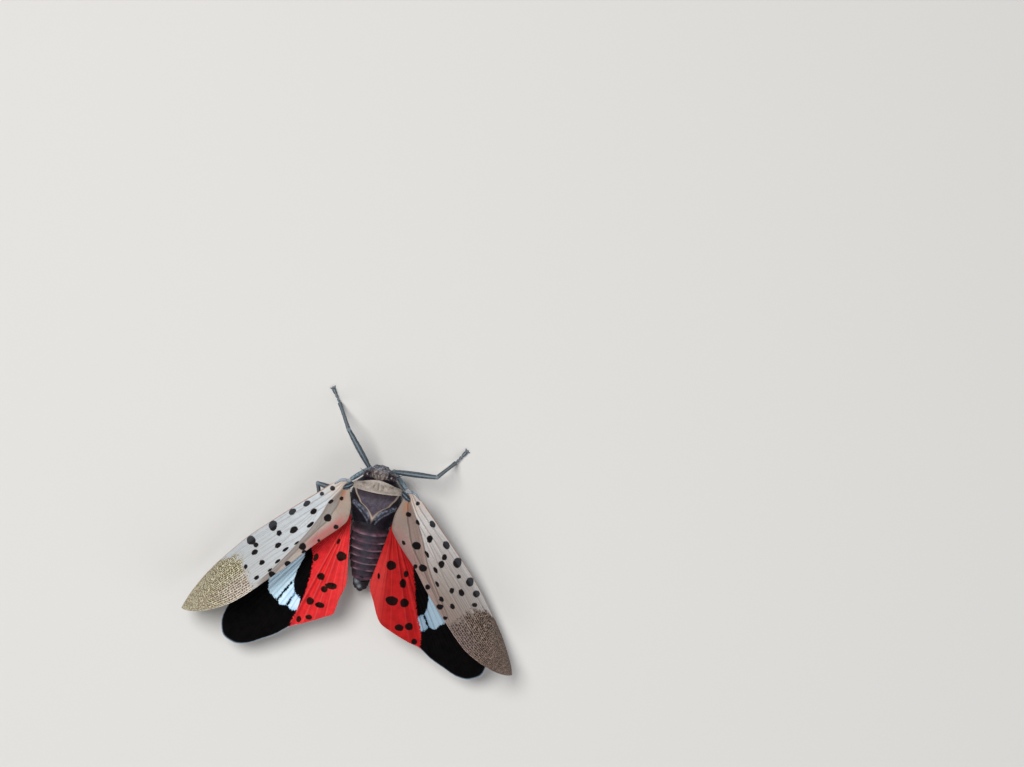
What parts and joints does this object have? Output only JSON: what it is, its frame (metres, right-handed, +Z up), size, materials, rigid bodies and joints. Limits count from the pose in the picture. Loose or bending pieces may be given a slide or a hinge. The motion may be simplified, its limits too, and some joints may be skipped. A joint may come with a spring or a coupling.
{
  "type": "spotted lanternfly model",
  "caption": "Life-size still model of a spotted lanternfly standing with its spotted grey forewings and red hindwings half open, for display and teaching.",
  "frame": {"origin": "on the floor under the middle of the whole reach of legs and wings", "axes": "-Y towards the head, +X towards the animal's left, +Z up from the floor it stands on"},
  "size_m": [0.0358, 0.0288, 0.0091],
  "materials": {
    "dark_chitin": "satin",
    "tan_collar": "matte",
    "grey_wax": "matte",
    "plum_rings": "satin",
    "grey_wing": "matte",
    "red_wing": "matte",
    "eye": "gloss",
    "orange_knob": "matte"
  },
  "bodies": {
    "root": {"head": "dark_chitin", "eye_left": "eye", "eye_right": "eye", "antenna_left": "orange_knob", "antenna_right": "orange_knob", "beak": "dark_chitin", "pronotum": "tan_collar", "thorax": "dark_chitin", "abdomen": "plum_rings", "tail": "plum_rings", "tegula_left": "grey_wax", "tegula_right": "grey_wax", "forewing_left": "grey_wing", "forewing_right": "grey_wing", "hindwing_left": "red_wing", "hindwing_right": "red_wing", "foreleg_left": "grey_wax", "foreleg_right": "grey_wax", "midleg_left": "grey_wax", "midleg_right": "grey_wax", "hindleg_left": "grey_wax", "hindleg_right": "grey_wax"}
  },
  "joints": []
}
